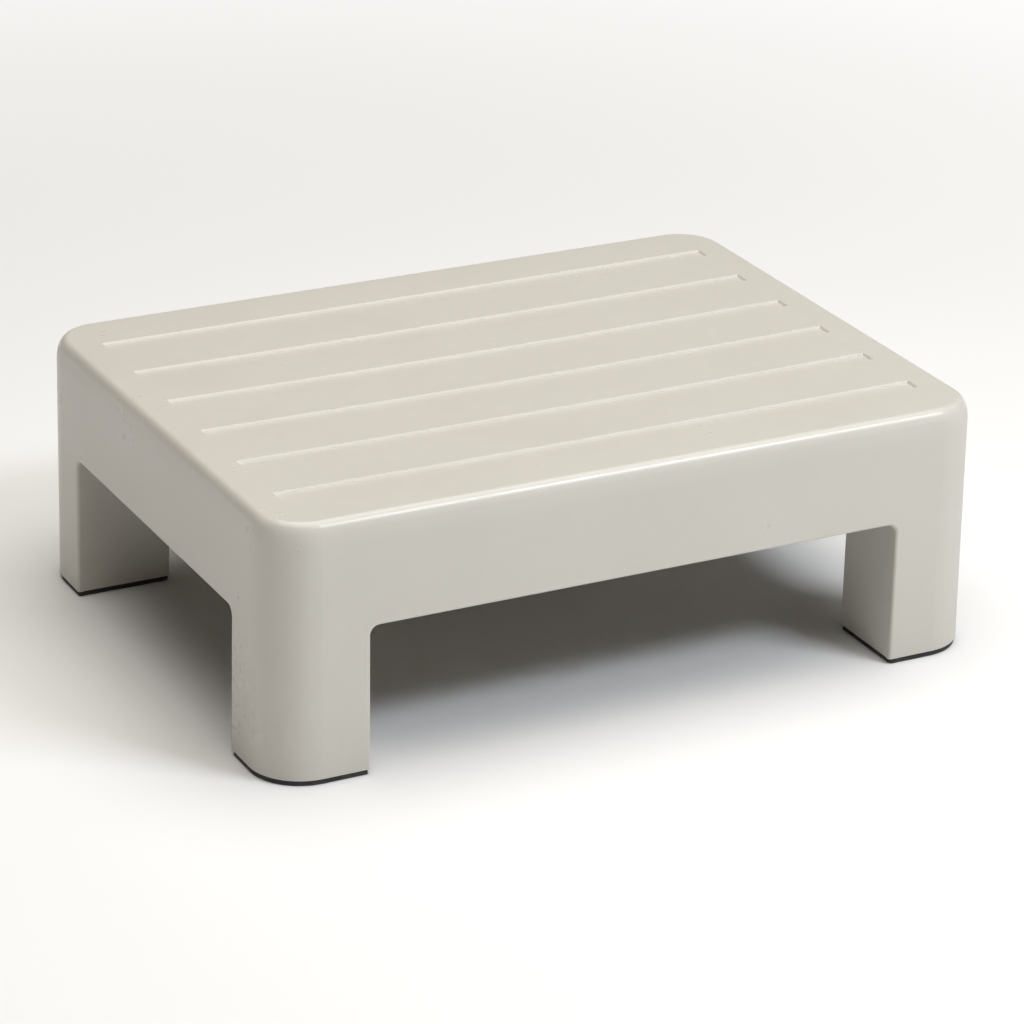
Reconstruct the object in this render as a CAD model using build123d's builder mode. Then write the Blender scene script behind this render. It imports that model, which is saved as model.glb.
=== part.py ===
from build123d import *
from math import radians, tan
import os

# Low shower stool: a one-piece moulded plastic stool standing on four rubber foot pads.
# Frame: origin on the floor under the middle of the stool, +X along the deck grooves (the long
# side), +Y towards the rear, +Z up. Sizes are millimetres.

# ---- stool outline ------------------------------------------------------------------------
LENGTH = 400.0            # deck outline along X, at the rim
WIDTH = 300.0             # deck outline along Y, at the rim
HEIGHT = 137.0            # floor to the rim of the deck
CORNER_RADIUS = 26.0      # upright corners, in plan
RIM_RUN = 6.0             # the rim's elliptical rounding: its reach in over the deck
RIM_DROP = 12.0           # and its reach down the outer walls
DRAFT_ANGLE = 0.6         # degrees: the outer walls lean outwards towards the floor

# ---- moulded walls ------------------------------------------------------------------------
WALL = 3.0                # outer walls and the inner walls of the legs
DECK_THICKNESS = 5.0      # rim level to the underside of the deck
INNER_RIM_RADIUS = 4.0    # where the underside of the deck turns down into the walls
RIB_THICKNESS = 2.2       # stiffening ribs under the deck
RIB_DEPTH = 20.0          # how far the ribs hang below the deck
RIB_BAYS_X = 8            # rib bays between the left and right legs
RIB_BAYS_Y = 6            # rib bays between the front and rear legs

# ---- legs and the openings between them ---------------------------------------------------
LEG_X = 51.5              # rim outline to the leg's inner face, along X
LEG_Y = 48.0              # rim outline to the leg's inner face, along Y
CLEAR_HEIGHT = 79.0       # floor to the lower edge of the aprons
ARCH_RADIUS = 5.0         # where an apron turns down into a leg
EDGE_ROUND = 1.5          # softened outer edges of the aprons and legs

# ---- deck surface -------------------------------------------------------------------------
GROOVE_COUNT = 6
GROOVE_WIDTH = 8.5        # across a groove's floor
GROOVE_DEPTH = 1.1
GROOVE_SLOPE = 1.0        # how far a groove's walls lean outwards on their way up
GROOVE_END_MARGIN = 21.2  # rim outline to the end of a groove's floor, along X
GROOVE_SIDE_MARGIN = 40.0  # rim outline to the middle of the outermost groove, along Y
DISH_DEPTH = 1.5          # the deck sinks this far in the middle
DISH_BORDER = 4.0         # flat band between the rim rounding and the dish

# ---- rubber foot pads ---------------------------------------------------------------------
PAD_THICKNESS = 3.0       # rubber between the leg and the floor
PAD_INSET = 0.8           # the pad stands back from the leg's faces
PAD_EDGE_ROUND = 0.5
PLUG_HEIGHT = 16.0        # skirt pushed up into the hollow leg
PLUG_WALL = 3.0
PLUG_CLEARANCE = 0.6      # skirt to the leg's inner walls
BAND_HEIGHT = 2.0         # gripping bands that run round the skirt
BAND_CLEARANCE = 0.1      # bands to the leg's inner walls
BAND_LEVELS = (4.0, 10.0) # up the skirt, from the leg's end
TREAD_SLOTS = 5           # slots in the underside of each pad
TREAD_SLOT_WIDTH = 2.5
TREAD_DEPTH = 1.0
TREAD_BORDER = 6.0        # plain rubber round the slots

SIDES = {
    "front_left": (-1, -1),
    "front_right": (1, -1),
    "rear_left": (-1, 1),
    "rear_right": (1, 1),
}
TOUCH = 0.01              # two points closer than this are the same point

# ---- worked out from the sizes above ------------------------------------------------------
leg_end = PAD_THICKNESS
rim_foot = HEIGHT - RIM_DROP
deck_underside = HEIGHT - DECK_THICKNESS
leg_face_x = LENGTH / 2 - LEG_X
leg_face_y = WIDTH / 2 - LEG_Y
leg_height = deck_underside - leg_end
groove_length = LENGTH - 2 * GROOVE_END_MARGIN
groove_pitch = (WIDTH - 2 * GROOVE_SIDE_MARGIN) / (GROOVE_COUNT - 1)


def outline(height, inset=0.0):
    """The stool's rounded outline at a height, drawn in by inset."""
    grow = (HEIGHT - height) * tan(radians(DRAFT_ANGLE)) - inset
    with BuildSketch(mode=Mode.PRIVATE) as plan:
        RectangleRounded(LENGTH + 2 * grow, WIDTH + 2 * grow, CORNER_RADIUS + grow)
    return plan.sketch


def away_from_middle(side_x, side_y):
    """Alignment that grows a rectangle outwards from a leg's inner corner."""
    return (Align.MIN if side_x > 0 else Align.MAX, Align.MIN if side_y > 0 else Align.MAX)


def leg_section(side_x, side_y, height, inset, corner_round=EDGE_ROUND):
    """One leg's cross-section at a height, drawn in from all four of its faces by inset."""
    near_x = leg_face_x + inset
    near_y = leg_face_y + inset

    def square_corner(point):
        return abs(abs(point.X) - near_x) < TOUCH or abs(abs(point.Y) - near_y) < TOUCH

    with BuildSketch(mode=Mode.PRIVATE) as section:
        add(outline(height, inset))
        with Locations((side_x * near_x, side_y * near_y)):
            Rectangle(LENGTH, WIDTH, align=away_from_middle(side_x, side_y), mode=Mode.INTERSECT)
        fillet(section.vertices().filter_by(square_corner), corner_round)
    return section.sketch


def air_over_dish(drop=0.0):
    """The space over the dished deck, or over the same dish sunk by drop."""
    half_x = LENGTH / 2 - RIM_RUN - DISH_BORDER
    half_y = WIDTH / 2 - RIM_RUN - DISH_BORDER
    level = HEIGHT - drop
    net = [[(x, y, level) for y in (-half_y, 0, half_y)] for x in (-half_x, 0, half_x)]
    # The middle of a patch with nine net points sinks a quarter as far as its middle point.
    net[1][1] = (0, 0, level - 4 * DISH_DEPTH)
    return Solid.extrude(Face.make_bezier_surface(net), Vector(0, 0, drop + DISH_DEPTH))


# ---- the rounded rim: a quarter of an ellipse, swept round the outline ---------------------
rim_path = outline(rim_foot).faces()[0].outer_wire().moved(Location((0, 0, rim_foot)))
rim_start = Plane(rim_path @ 0, x_dir=(rim_path % 0).cross(Vector(0, 0, 1)), z_dir=-(rim_path % 0))
with BuildPart() as rim:
    with BuildSketch(rim_start):
        with BuildLine():
            rounding = EllipticalCenterArc((-RIM_RUN, 0), RIM_RUN, RIM_DROP, start_angle=0, arc_size=90)
            Polyline(rounding @ 1, (-RIM_RUN, 0), rounding @ 0)
        make_face()
    sweep(path=rim_path)

# ---- the stool's outer block, still solid -------------------------------------------------
with BuildPart() as block:
    with BuildSketch(Plane.XY.offset(leg_end)):
        add(outline(leg_end))
    with BuildSketch(Plane.XY.offset(rim_foot)):
        add(outline(rim_foot))
    loft(ruled=True)
    with BuildSketch(Plane.XY.offset(rim_foot)):
        add(outline(rim_foot, RIM_RUN))
    extrude(amount=RIM_DROP)
    add(rim.part)

    # The opening from front to rear, then the one from side to side.
    for across, half_gap in ((Plane.XZ, leg_face_x), (Plane.YZ, leg_face_y)):
        with BuildSketch(across) as arch:
            with Locations((0, CLEAR_HEIGHT / 2)):
                Rectangle(2 * half_gap, CLEAR_HEIGHT)
            fillet(arch.vertices().group_by(Axis.Z)[-1], ARCH_RADIUS)
        extrude(amount=LENGTH, both=True, mode=Mode.SUBTRACT)

    def borders_opening(edge):
        """True where an opening meets the stool's outer walls."""
        middle = edge.center()
        by_opening = leg_end + TOUCH < middle.Z < CLEAR_HEIGHT + TOUCH
        at_front_or_rear = abs(middle.Y) > WIDTH / 2 and abs(middle.X) < leg_face_x + TOUCH
        at_a_side = abs(middle.X) > LENGTH / 2 and abs(middle.Y) < leg_face_y + TOUCH
        return by_opening and (at_front_or_rear or at_a_side)

    fillet(block.edges().filter_by(Axis.Z) + block.edges().filter_by(borders_opening), EDGE_ROUND)

# ---- the hollow inside the walls, less the leg walls and ribs that stay -------------------
with BuildPart() as hollow:
    with BuildSketch(Plane.XY.offset(leg_end)):
        add(outline(leg_end, WALL))
    with BuildSketch(Plane.XY.offset(deck_underside)):
        add(outline(deck_underside, WALL))
    loft(ruled=True)
    fillet(hollow.faces().sort_by(Axis.Z)[-1].edges(), INNER_RIM_RADIUS)

    # The two inner walls of each leg.
    with BuildSketch(Plane.XY.offset(leg_end)):
        for side_x, side_y in SIDES.values():
            corner_align = away_from_middle(side_x, side_y)
            with Locations((side_x * leg_face_x, side_y * leg_face_y)):
                Rectangle(LENGTH, WALL, align=corner_align)
                Rectangle(WALL, WIDTH, align=corner_align)
    extrude(amount=leg_height, mode=Mode.SUBTRACT)

    # The grid of ribs under the deck, in line with the leg walls at its edges.
    rib_pitch_x = (2 * leg_face_x + WALL) / RIB_BAYS_X
    rib_pitch_y = (2 * leg_face_y + WALL) / RIB_BAYS_Y
    with BuildSketch(Plane.XY.offset(deck_underside - RIB_DEPTH)):
        with GridLocations(rib_pitch_x, 0, RIB_BAYS_X + 1, 1):
            Rectangle(RIB_THICKNESS, 2 * WIDTH)
        with GridLocations(0, rib_pitch_y, 1, RIB_BAYS_Y + 1):
            Rectangle(2 * LENGTH, RIB_THICKNESS)
    extrude(amount=RIB_DEPTH, mode=Mode.SUBTRACT)

# ---- the space inside the deck grooves, whose floors follow the dish -----------------------
with BuildPart() as groove_air:
    with BuildSketch(Plane.XY.offset(HEIGHT - GROOVE_DEPTH - DISH_DEPTH)):
        with GridLocations(0, groove_pitch, 1, GROOVE_COUNT):
            Rectangle(groove_length, GROOVE_WIDTH)
    extrude(amount=GROOVE_DEPTH + DISH_DEPTH)
    add(air_over_dish(GROOVE_DEPTH), mode=Mode.INTERSECT)

# ---- stool body ---------------------------------------------------------------------------
with BuildPart() as stool_body:
    add(block.part)
    add(hollow.part, mode=Mode.SUBTRACT)
    add(air_over_dish(), mode=Mode.SUBTRACT)
    add(groove_air.part, mode=Mode.SUBTRACT)

    # The grooves are the holes in the dished deck, and their walls slope down from it.
    deck = stool_body.faces().filter_by(GeomType.BEZIER).sort_by(SortBy.AREA)[-1]
    groove_mouths = [edge for mouth in deck.inner_wires() for edge in mouth.edges()]
    chamfer(groove_mouths, GROOVE_SLOPE)

os.makedirs("parts", exist_ok=True)
stool_body.part.label = "stool_body"
export_step(stool_body.part, "parts/stool_body.step")

# ---- rubber foot pads ---------------------------------------------------------------------
for side, (side_x, side_y) in SIDES.items():
    with BuildPart() as foot_pad:
        # The sole, which covers the whole end of the leg.
        with BuildSketch():
            add(leg_section(side_x, side_y, leg_end, PAD_INSET))
        extrude(amount=PAD_THICKNESS)
        fillet(foot_pad.faces().sort_by(Axis.Z)[0].edges(), PAD_EDGE_ROUND)

        # The skirt inside the leg, with its gripping bands, hollowed to an even wall.
        skirt_top = leg_end + PLUG_HEIGHT
        with BuildSketch(Plane.XY.offset(leg_end)):
            add(leg_section(side_x, side_y, skirt_top, WALL + PLUG_CLEARANCE))
        extrude(amount=PLUG_HEIGHT)
        for level in BAND_LEVELS:
            band_top = leg_end + level + BAND_HEIGHT
            with BuildSketch(Plane.XY.offset(leg_end + level)):
                add(leg_section(side_x, side_y, band_top, WALL + BAND_CLEARANCE))
            extrude(amount=BAND_HEIGHT)
        with BuildSketch(Plane.XY.offset(leg_end)):
            add(leg_section(side_x, side_y, skirt_top, WALL + PLUG_CLEARANCE + PLUG_WALL))
        extrude(amount=PLUG_HEIGHT, mode=Mode.SUBTRACT)

        # Slots across the sole, inside a plain border.
        with BuildSketch():
            add(leg_section(side_x, side_y, leg_end, PAD_INSET + TREAD_BORDER))
            slot_pitch = (LEG_Y - 2 * TREAD_BORDER) / TREAD_SLOTS
            with Locations((0, side_y * (leg_face_y + LEG_Y / 2))):
                with GridLocations(0, slot_pitch, 1, TREAD_SLOTS):
                    Rectangle(2 * LENGTH, TREAD_SLOT_WIDTH, mode=Mode.INTERSECT)
        extrude(amount=TREAD_DEPTH, mode=Mode.SUBTRACT)
    foot_pad.part.label = f"foot_pad_{side}"
    export_step(foot_pad.part, f"parts/foot_pad_{side}.step")
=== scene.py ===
# %% [markdown]
# # A low shower stool
#
# The stool is one plastic moulding that stands on four black rubber pads. Its engineered shape already
# exists at real size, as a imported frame, so this lesson is about what a maker adds in Blender: moulded
# plastic that holds up close to the eye, rubber pads with their tread, and the light of a small studio.
#
# Everything is in metres. The origin is on the floor under the middle of the stool, X runs along the deck
# grooves, Y runs towards the rear and Z is up.

# %% Load the engineered frame
import math

import bpy
from mathutils import Matrix, Vector


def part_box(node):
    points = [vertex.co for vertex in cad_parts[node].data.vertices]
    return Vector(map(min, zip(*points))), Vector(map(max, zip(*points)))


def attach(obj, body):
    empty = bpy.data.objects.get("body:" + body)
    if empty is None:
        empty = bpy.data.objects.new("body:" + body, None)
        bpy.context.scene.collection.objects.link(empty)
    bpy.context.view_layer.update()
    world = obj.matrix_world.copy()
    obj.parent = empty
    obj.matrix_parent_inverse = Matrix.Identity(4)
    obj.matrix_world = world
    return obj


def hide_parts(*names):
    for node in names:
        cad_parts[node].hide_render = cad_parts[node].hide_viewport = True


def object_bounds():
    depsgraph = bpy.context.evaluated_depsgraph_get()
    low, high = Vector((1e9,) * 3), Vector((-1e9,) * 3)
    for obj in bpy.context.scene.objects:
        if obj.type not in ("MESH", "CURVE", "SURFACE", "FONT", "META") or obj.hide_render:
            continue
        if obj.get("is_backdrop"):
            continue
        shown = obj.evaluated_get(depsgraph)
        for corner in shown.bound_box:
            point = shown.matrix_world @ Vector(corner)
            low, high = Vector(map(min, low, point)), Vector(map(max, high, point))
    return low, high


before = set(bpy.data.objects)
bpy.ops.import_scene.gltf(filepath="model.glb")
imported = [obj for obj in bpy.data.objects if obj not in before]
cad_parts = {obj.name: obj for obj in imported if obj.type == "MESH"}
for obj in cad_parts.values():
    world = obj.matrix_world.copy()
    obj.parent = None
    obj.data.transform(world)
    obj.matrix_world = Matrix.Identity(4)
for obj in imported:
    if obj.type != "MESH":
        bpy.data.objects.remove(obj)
cad_low, cad_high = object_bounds()
stool_middle = (cad_low + cad_high) / 2
MM = 0.001
print("stool, mm:", [round(side / MM, 1) for side in cad_high - cad_low])

# %% [markdown]
# ## Node trees as expressions
#
# A material, or a shape made by Geometry Nodes, is a graph of boxes joined by wires, and a long graph is
# hard to read. The small class below stands for one wire. Adding or multiplying two wires puts a Math
# node behind the scenes, so a pattern can be written the way one would say it. Every other kind of node
# comes from one method, `node`, which sets the node up first and then fills its sockets.


# %% One wire of a node tree
class Wire:
    """One output socket of a node tree, which can be worked with like a number."""

    def __init__(self, tree, socket=None):
        self.tree = tree
        self.socket = socket

    def node(self, kind, settings=None, output=0, **values):
        """Add a node: its settings, then a value, a wire or a list of wires for each named socket.

        A socket's name has _ for each space, and n0, n1 and so on are sockets by their place.
        """
        made = self.tree.nodes.new(kind)
        for key, value in (settings or {}).items():
            if key == "stops":
                for stop, (place, level) in zip(made.color_ramp.elements, value):
                    stop.position = place
                    stop.color = (level, level, level, 1)
            else:
                setattr(made, key, value)
        for key, value in values.items():
            socket = made.inputs[int(key[1:]) if key[1:].isdigit() else key.replace("_", " ")]
            if isinstance(value, (Wire, list)):
                for wire in value if isinstance(value, list) else [value]:
                    self.tree.links.new(wire.socket, socket)
            else:
                socket.default_value = value
        return Wire(self.tree, made.outputs[output] if made.outputs else None)

    def maths(self, operation, *terms):
        numbered = {f"n{place}": term for place, term in enumerate(terms)}
        return self.node("ShaderNodeMath", {"operation": operation}, **numbered)

    def __add__(self, other):
        return self.maths("ADD", self, other)

    def __sub__(self, other):
        return self.maths("SUBTRACT", self, other)

    def __rsub__(self, other):
        return self.maths("SUBTRACT", other, self)

    def __mul__(self, other):
        return self.maths("MULTIPLY", self, other)

    def __truediv__(self, other):
        return self.maths("DIVIDE", self, other)

    __radd__ = __add__
    __rmul__ = __mul__


# %% [markdown]
# ## Patterns that every finish here is mixed from
#
# A procedural finish is a few simple patterns laid over each other: a cloud for slow changes of colour, a
# grain for the skin of the material, and rare spots for dirt. All of them are read from the piece's own
# coordinates, so nothing has to be unwrapped, and a pattern's scale is written as the size of one of its
# blobs in metres, because that is what a maker can judge by eye.


# %% Pattern helpers
def new_material(name):
    """An empty material, and the wire that carries a place on the piece."""
    material = bpy.data.materials.new(name)
    material.use_nodes = True
    material.node_tree.nodes.clear()
    place = Wire(material.node_tree).node("ShaderNodeTexCoord", output="Object")
    return material, place


def noise(place, blob, detail=2.0, rough=0.5):
    """Soft random blobs of about one size, from 0 to 1."""
    return place.node("ShaderNodeTexNoise", Vector=place, Scale=1 / blob, Detail=detail, Roughness=rough)


def ramp(wire, start, end):
    """0 up to start, 1 from end, and a smooth change between."""
    return wire.node("ShaderNodeMapRange", {"interpolation_type": "SMOOTHSTEP"},
                     Value=wire, From_Min=start, From_Max=end)


def spots(place, spacing, radius, share):
    """Small round spots: one cell in every so many of a cellular pattern keeps a spot at its heart."""
    cells = {"Vector": place, "Scale": 1 / spacing}
    reach = place.node("ShaderNodeTexVoronoi", output="Distance", **cells)
    draw = place.node("ShaderNodeTexVoronoi", output="Color", **cells)
    chosen = draw.maths("LESS_THAN", draw.node("ShaderNodeSeparateColor", Color=draw), share)
    return chosen * (1 - ramp(reach, radius / spacing * 0.5, radius / spacing))


def blend(mask, under, over):
    """Lay one colour over another where the mask is 1."""
    return mask.node("ShaderNodeMix", {"data_type": "RGBA"}, output=2, n0=mask, n6=under, n7=over)


# %% [markdown]
# ## Moulded plastic
#
# The body is injection-moulded polypropylene in a warm light grey. The half of the mould that forms its
# outside is blasted with fine grit, so the deck and the aprons are satin, with an even grain far smaller
# than a millimetre. The other half, which forms the underside, the ribs and the leg openings, is left as
# it was milled, so it is duller and carries faint level lines. Both sides show the slow waves of plastic
# that shrank as it cooled, and here and there a dark speck in the resin. The deck is where feet and wet
# bottles rub, so its gloss is a little uneven.

# %% Colours and sizes of the plastic's patterns
PLASTIC = (0.632, 0.606, 0.551, 1)
PLASTIC_DEEP = (0.618, 0.591, 0.534, 1)
RESIN_SPECK = (0.16, 0.13, 0.09, 1)
SOAP_FILM = (0.70, 0.69, 0.66, 1)
WALL = 3 * MM
SKIN_DEPTH = 0.8 * WALL          # how far in from a wall's outside still counts as outer skin
DECK_SKIN_DEPTH = 1.4 * WALL     # the same, down from the deck, which is thicker
SHADE_CLOUD = 70 * MM
SHRINK_WAVE = 45 * MM
BLAST_GRAIN = 0.45 * MM
RUB_MARK = 9 * MM
MILLING_STEP = 0.6 * MM


# %% Which half of the mould formed the surface
def core_side(place):
    """1 where the inner half of the mould shaped the plastic, 0 on the outer skin."""
    axes = [place.node("ShaderNodeSeparateXYZ", output=axis, Vector=place) for axis in "XYZ"]
    depths = [
        (cad_high.x - SKIN_DEPTH) - axes[0].maths("ABSOLUTE", axes[0]),
        (cad_high.y - SKIN_DEPTH) - axes[1].maths("ABSOLUTE", axes[1]),
        (cad_high.z - DECK_SKIN_DEPTH) - axes[2],
    ]
    shallowest = depths[0].maths("MINIMUM", depths[0], depths[0].maths("MINIMUM", depths[1], depths[2]))
    return ramp(shallowest, -0.1 * MM, 0.1 * MM)


# %% The plastic itself
def plastic():
    material, place = new_material("warm_grey_plastic")
    core = core_side(place)
    cloud = noise(place, SHADE_CLOUD, detail=3.0)
    grain = noise(place, BLAST_GRAIN)
    waves = noise(place, SHRINK_WAVE, detail=1.0)
    rubbed = noise(place, RUB_MARK)
    specks = spots(place, spacing=24 * MM, radius=0.35 * MM, share=0.3)
    flow = place.node("ShaderNodeSeparateXYZ", output="Z", Vector=place)
    milling = flow.maths("SINE", flow * (2 * math.pi / MILLING_STEP))

    colour = blend(ramp(cloud, 0.35, 0.75), PLASTIC, PLASTIC_DEEP)
    colour = blend(ramp(rubbed, 0.56, 0.72) * 0.06, colour, SOAP_FILM)
    colour = blend(specks * 0.75, colour, RESIN_SPECK)

    satin = 0.26 + ramp(rubbed, 0.42, 0.70) * 0.05 + cloud * 0.04
    dull = 0.44 + cloud * 0.08
    height = waves * 0.25 + (1 - core) * grain * 0.012 + core * (milling * 0.006 + grain * 0.01)
    skin = place.node("ShaderNodeBump", Height=height, Strength=0.30, Distance=0.4 * MM)
    shader = place.node(
        "ShaderNodeBsdfPrincipled",
        Base_Color=colour, Roughness=satin * (1 - core) + dull * core, Normal=skin, IOR=1.49,
    )
    place.node("ShaderNodeOutputMaterial", Surface=shader)
    return material


stool_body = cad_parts["stool_body"]
stool_body.material_slots[0].material = plastic()
print("plastic nodes:", len(stool_body.material_slots[0].material.node_tree.nodes))

# %% [markdown]
# ## Black rubber
#
# The pads are pressed from black rubber. New rubber is never quite black or quite even: the press leaves
# a fine leathery skin, pale bloom comes out of the mix in soft patches, and the sole picks up dust where
# it meets the floor. The dust mask is a height: it is full at the floor and gone a millimetre above it.

# %% Rubber finish
RUBBER = (0.017, 0.017, 0.018, 1)
RUBBER_BLOOM = (0.047, 0.046, 0.045, 1)
FLOOR_DUST = (0.20, 0.19, 0.17, 1)


def rubber():
    material, place = new_material("black_rubber")
    leather = noise(place, 0.7 * MM, detail=4.0, rough=0.6)
    patches = noise(place, 12 * MM, detail=4.0, rough=0.6)
    level = place.node("ShaderNodeSeparateXYZ", output="Z", Vector=place)
    dusty = (1 - ramp(level, 0.1 * MM, 1.1 * MM)) * ramp(patches, 0.35, 0.75)

    colour = blend(ramp(patches, 0.40, 0.70), RUBBER, RUBBER_BLOOM)
    colour = blend(dusty * 0.5, colour, FLOOR_DUST)
    skin = place.node("ShaderNodeBump", Height=leather, Strength=0.35, Distance=0.25 * MM)
    shader = place.node(
        "ShaderNodeBsdfPrincipled",
        Base_Color=colour, Roughness=0.55 + leather * 0.12 + dusty * 0.2, Normal=skin, IOR=1.52,
    )
    place.node("ShaderNodeOutputMaterial", Surface=shader)
    return material


black_rubber = rubber()
print("rubber nodes:", len(black_rubber.node_tree.nodes))

# %% [markdown]
# ## Foot pads made by a rule
#
# A foot pad is a flat sole, as wide as the leg, with a hollow skirt that is pushed up into the leg. Beads
# run round the skirt and grip the leg's inner walls, and slots across the sole grip a wet floor. All of
# it is one outline, used again and again: set in by a different amount, and made thick. That is a rule,
# so Geometry Nodes suit it better than modelling by hand, and the four pads come from one tree. They
# differ only in which corner of the outline is the stool's own large rounded corner.
#
# Each plate is a rectangle whose corners are rounded one by one, filled and extruded. Mesh Boolean nodes
# then add the plates up and take the slots and the hollow away.

# %% The tree and its named sizes
CORNER_STEPS = 20
SLOT_COUNT = 5
BEAD_COUNT = 2
pad_tree = bpy.data.node_groups.new("foot_pad", "GeometryNodeTree")
pad_tree.interface.new_socket("Geometry", in_out="OUTPUT", socket_type="NodeSocketGeometry")
PAD_SIZES = {
    "Sole Thickness": 3 * MM,
    "Outer Corner Radius": 26.6 * MM,
    "Inner Corner Radius": 1.5 * MM,
    "Skirt Inset": 3 * MM,
    "Skirt Wall": 3 * MM,
    "Bead Proud": 0.45 * MM,
    "Bead Height": 2 * MM,
    "Bead Gap": 6 * MM,
    "Slot Width": 2.5 * MM,
    "Slot Depth": 1 * MM,
    "Slot Border": 6 * MM,
}
pad_inputs = {}
for name in ("Width", "Depth", "Height", *PAD_SIZES):
    pad_inputs[name] = pad_tree.interface.new_socket(name, in_out="INPUT", socket_type="NodeSocketFloat")
for name in ("Slot Count", "Bead Count", "Outer Corner"):
    pad_inputs[name] = pad_tree.interface.new_socket(name, in_out="INPUT", socket_type="NodeSocketInt")
pad_inputs["Rubber"] = pad_tree.interface.new_socket(
    "Rubber", in_out="INPUT", socket_type="NodeSocketMaterial")
pad_inputs["Middle"] = pad_tree.interface.new_socket(
    "Middle", in_out="INPUT", socket_type="NodeSocketVector")

entry = pad_tree.nodes.new("NodeGroupInput")
size = {name: Wire(pad_tree, entry.outputs[name]) for name in pad_inputs}
print("pad tree inputs:", ", ".join(pad_inputs))


# %% Plates: the one outline, set in and made thick
def rounded_outline(inset):
    """The pad's outline as a curve, set in all round, with one corner rounder than the rest."""
    wide = size["Width"] - 2 * inset
    corner = wide.node("FunctionNodeCompare", {"data_type": "INT", "operation": "EQUAL"},
                       n2=wide.node("GeometryNodeInputIndex"), n3=size["Outer Corner"])
    radius = wide.node("GeometryNodeSwitch", {"input_type": "FLOAT"},
                       Switch=corner, n1=size["Inner Corner Radius"], n2=size["Outer Corner Radius"] - inset)
    corners = wide.node("GeometryNodeCurvePrimitiveQuadrilateral",
                        Width=wide, Height=size["Depth"] - 2 * inset)
    return wide.node("GeometryNodeFilletCurve", {"mode": "POLY"},
                     Curve=corners, Count=CORNER_STEPS, Radius=radius)


def plate(inset, thickness, level):
    """A closed plate of the pad's outline, set in all round, with its underside at a level."""
    sheet = inset.node("GeometryNodeFillCurve", {"mode": "NGONS"}, Curve=rounded_outline(inset))
    walls = sheet.node("GeometryNodeExtrudeMesh", Mesh=sheet, Offset_Scale=thickness, Individual=False)
    underside = sheet.node("GeometryNodeFlipFaces", Mesh=sheet)
    closed = sheet.node("GeometryNodeJoinGeometry", Geometry=[walls, underside])
    welded = sheet.node("GeometryNodeMergeByDistance", Geometry=closed, Distance=0.01 * MM)
    return lift(welded, level)


def lift(shape, level):
    """The same shape, moved up to a level."""
    upwards = shape.node("ShaderNodeCombineXYZ", Z=level)
    return shape.node("GeometryNodeTransform", Geometry=shape, Translation=upwards)


def carve(operation, shape, others):
    """Add other shapes to a shape, take them away from it, or keep what they share."""
    if operation == "DIFFERENCE":
        return shape.node("GeometryNodeMeshBoolean", {"operation": operation, "solver": "EXACT"},
                          Mesh_1=shape, Mesh_2=others)
    return shape.node("GeometryNodeMeshBoolean", {"operation": operation, "solver": "EXACT"},
                      Mesh_2=[shape, *others])


# %% Sole, skirt, beads and slots
OVERLAP = 0.2 * MM
none = size["Width"] * 0
sole_top = size["Sole Thickness"]
skirt_height = size["Height"] - sole_top

sole = plate(none, sole_top, 0.0)
skirt = plate(size["Skirt Inset"], skirt_height + OVERLAP, sole_top - OVERLAP)

one_bead = plate(size["Skirt Inset"] - size["Bead Proud"], size["Bead Height"], 0.0)
bead_places = one_bead.node(
    "GeometryNodeMeshLine", Count=size["Bead Count"],
    Start_Location=one_bead.node("ShaderNodeCombineXYZ", Z=sole_top + size["Bead Gap"] - size["Bead Height"]),
    Offset=one_bead.node("ShaderNodeCombineXYZ", Z=size["Bead Gap"]),
)
beads = one_bead.node("GeometryNodeRealizeInstances", Geometry=one_bead.node(
    "GeometryNodeInstanceOnPoints", Points=bead_places, Instance=one_bead))
pocket = plate(size["Skirt Inset"] + size["Skirt Wall"], skirt_height + OVERLAP, sole_top)

slot_pitch = (size["Depth"] - 2 * size["Slot Border"]) / size["Slot Count"]
one_slot = sole.node("GeometryNodeMeshCube", Size=sole.node(
    "ShaderNodeCombineXYZ", X=size["Width"], Y=size["Slot Width"], Z=2 * size["Slot Depth"]))
slot_places = one_slot.node(
    "GeometryNodeMeshLine", Count=size["Slot Count"],
    Start_Location=one_slot.node("ShaderNodeCombineXYZ", Y=slot_pitch * 0.5 * (1 - size["Slot Count"])),
    Offset=one_slot.node("ShaderNodeCombineXYZ", Y=slot_pitch),
)
bars = one_slot.node("GeometryNodeRealizeInstances", Geometry=one_slot.node(
    "GeometryNodeInstanceOnPoints", Points=slot_places, Instance=one_slot))
tread_field = plate(size["Slot Border"], 4 * size["Slot Depth"], -2 * size["Slot Depth"])
slots = carve("INTERSECT", bars, [tread_field])

pad_shape = carve("DIFFERENCE", carve("UNION", sole, [skirt, beads]), [pocket, slots])
placed = pad_shape.node("GeometryNodeTransform", Geometry=pad_shape, Translation=size["Middle"])
real = placed.node("GeometryNodeRealizeInstances", Geometry=placed)
coated = real.node("GeometryNodeSetMaterial", Geometry=real, Material=size["Rubber"])
coated.node("NodeGroupOutput", Geometry=coated)

# %% [markdown]
# ## From the tree to four finished pads
#
# Each pad is grown as large as the engineered pad it stands for, and in the same place. A modifier keeps
# its inputs under short identifiers, so each size is set by its socket's identifier. Rubber comes out of
# a press with slightly soft edges, so a Bevel rounds every sharp edge by a fraction of a millimetre, and
# its hardened normals keep the flat faces looking flat. The result is then baked to a plain mesh.

# %% Grow, soften and bake one pad
OUTER_CORNERS = {(1, 1): 0, (-1, 1): 1, (-1, -1): 2, (1, -1): 3}
SOFT_EDGE = 0.2 * MM
SHARP = math.radians(40)


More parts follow.
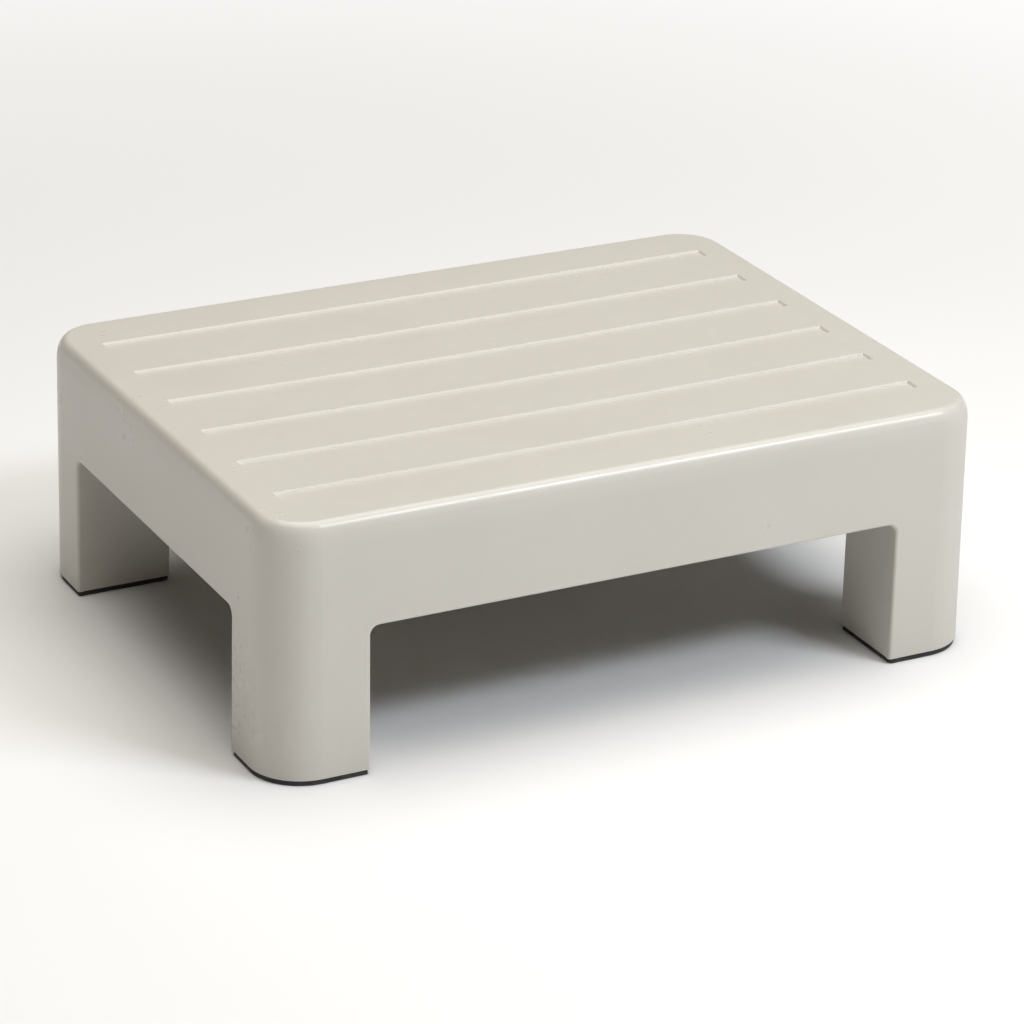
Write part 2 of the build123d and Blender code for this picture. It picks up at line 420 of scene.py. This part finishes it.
def grow_pad(name):
    """One pad from the tree, as large as the engineered pad and in its place."""
    low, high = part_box(name)
    middle = (low + high) / 2
    pad = bpy.data.objects.new("rubber_" + name, bpy.data.meshes.new("rubber_pad"))
    bpy.context.collection.objects.link(pad)
    rule = pad.modifiers.new("pad rule", "NODES")
    rule.node_group = pad_tree
    wanted = dict(PAD_SIZES)
    wanted.update({
        "Width": high.x - low.x,
        "Depth": high.y - low.y,
        "Height": high.z - low.z,
        "Slot Count": SLOT_COUNT,
        "Bead Count": BEAD_COUNT,
        "Outer Corner": OUTER_CORNERS[math.copysign(1, middle.x), math.copysign(1, middle.y)],
        "Rubber": black_rubber,
        "Middle": (middle.x, middle.y, low.z),
    })
    for title, value in wanted.items():
        rule[pad_inputs[title].identifier] = value

    soften = pad.modifiers.new("pressed edges", "BEVEL")
    soften.width = SOFT_EDGE
    soften.segments = 2
    soften.limit_method = "ANGLE"
    soften.angle_limit = SHARP
    soften.use_clamp_overlap = False
    soften.harden_normals = True

    baked = bpy.data.meshes.new_from_object(pad.evaluated_get(bpy.context.evaluated_depsgraph_get()))
    pad.modifiers.clear()
    pad.data = baked
    baked.shade_smooth()
    return pad


for name in sorted(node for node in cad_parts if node.startswith("foot_pad")):
    pad = grow_pad(name)
    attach(pad, "root")
    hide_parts(name)
    across = [round(side / MM, 1) for side in pad.dimensions]
    print(pad.name, "faces:", len(pad.data.polygons), "size, mm:", across)

# %% [markdown]
# ## A plain white floor
#
# A product studio has a wide white table that is lit until it is almost pure white. A large flat sheet
# does that job. Lamps fade with distance, so the far floor would turn grey: the sheet glows a little
# there, and not at all round the stool, where real light and shadow have to tell the truth.

# %% Floor
FLOOR_REACH = 8.0
FLOOR_WHITE = (0.88, 0.88, 0.88, 1)
NO_GLOW = (0, 0, 0, 1)
FAR_GLOW = (0.75, 0.75, 0.77, 1)
GLOW_START = 0.5
GLOW_FULL = 2.2


def floor_paint():
    material, place = new_material("studio_white")
    away = place.node("ShaderNodeVectorMath", {"operation": "LENGTH"}, output="Value", n0=place)
    glow = blend(ramp(away, GLOW_START, GLOW_FULL), NO_GLOW, FAR_GLOW)
    shader = place.node("ShaderNodeBsdfPrincipled", Base_Color=FLOOR_WHITE, Roughness=0.9,
                        Emission_Color=glow, Emission_Strength=1.0)
    place.node("ShaderNodeOutputMaterial", Surface=shader)
    return material


sheet = bpy.data.meshes.new("studio_floor")
edge_signs = ((-1, -1), (1, -1), (1, 1), (-1, 1))
sheet.from_pydata([(x * FLOOR_REACH, y * FLOOR_REACH, 0) for x, y in edge_signs], [], [(0, 1, 2, 3)])
sheet.materials.append(floor_paint())
floor = bpy.data.objects.new("studio_floor", sheet)
bpy.context.collection.objects.link(floor)
floor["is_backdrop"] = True
print("floor, m across:", 2 * FLOOR_REACH)

# %% [markdown]
# ## Three soft boxes
#
# A very large soft box hangs overhead and gives the deck its even brightness. The key light is smaller
# and stands high to the front and right: it is what draws the thin bright line along the rounded front
# rim, and it lights the aprons and legs. A faint warm box, low at the front right, lifts their shade a
# little. Nothing stands on the left, so the left side falls into half shade and the corner between the
# two shows its roundness. The room itself is almost dark, so that the lamps do the modelling.


# %% Lamps
def soft_box(name, direction, distance, width, height, watts, colour):
    """A rectangular lamp that looks at the stool's middle from a direction."""
    lamp = bpy.data.lights.new(name, "AREA")
    lamp.shape = "RECTANGLE"
    lamp.size = width
    lamp.size_y = height
    lamp.energy = watts
    lamp.color = colour
    holder = bpy.data.objects.new(name, lamp)
    bpy.context.collection.objects.link(holder)
    towards = Vector(direction).normalized()
    holder.location = stool_middle + towards * distance
    holder.rotation_mode = "QUATERNION"
    holder.rotation_quaternion = towards.to_track_quat("Z", "Y")
    print(name, "at", [round(place, 2) for place in holder.location], "m,", watts, "W")


soft_box("overhead", (0.03, -0.04, 1), 2.2, 2.4, 2.4, 62, (1, 0.962, 0.905))
soft_box("key", (0.42, -0.60, 0.68), 2.4, 0.8, 0.35, 25, (0.87, 0.925, 1))
soft_box("front_right", (0.8, -0.6, 0.15), 2.6, 1.2, 1.2, 3, (1, 0.90, 0.75))

ROOM_TINT = (1, 0.80, 0.55, 1)
ROOM_LIGHT = 0.005
world = bpy.data.worlds.new("studio")
bpy.context.scene.world = world
world.use_nodes = True
room = world.node_tree.nodes["Background"]
room.inputs["Color"].default_value = ROOM_TINT
room.inputs["Strength"].default_value = ROOM_LIGHT

# %% [markdown]
# ## Camera
#
# A long lens from two metres away keeps the stool's edges nearly parallel, as in a catalogue. The camera
# stands in front and to the left, and looks down by about a quarter of a right angle, so the whole deck
# shows. A slight roll is how the camera was held. The Standard view transform keeps the pale plastic as
# light as it is: the filmic ones would turn it grey.

# %% Place the camera
CAMERA_PLACE = Vector((-0.9038, -1.7448, 0.8991))
TURN = math.radians(-27.51)
TILT = math.radians(23.28)
ROLL = math.radians(1.197)

SENSOR = 36
FOCAL_LENGTH = 142.3

lens = bpy.data.cameras.new("camera")
lens.sensor_width = SENSOR
lens.lens = FOCAL_LENGTH
camera = bpy.data.objects.new("camera", lens)
bpy.context.collection.objects.link(camera)
camera.matrix_world = (
    Matrix.Translation(CAMERA_PLACE)
    @ Matrix.Rotation(TURN, 4, "Z")
    @ Matrix.Rotation(math.pi / 2 - TILT, 4, "X")
    @ Matrix.Rotation(ROLL, 4, "Z")
)
bpy.context.scene.camera = camera
bpy.context.scene.view_settings.view_transform = "Standard"
print("camera to stool, m:", round((CAMERA_PLACE - stool_middle).length, 2))

# %% [markdown]
# ## Measure both shapes
#
# The finished looks and the engineered shape are both measured, and their sizes are printed. The
# finished looks must be no bigger than the engineered shape.

# %% Measure and finish
low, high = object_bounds()
for title, across in (("engineered", cad_high - cad_low), ("finished", high - low)):
    print(title, "size, mm:", [round(side / MM, 2) for side in across])
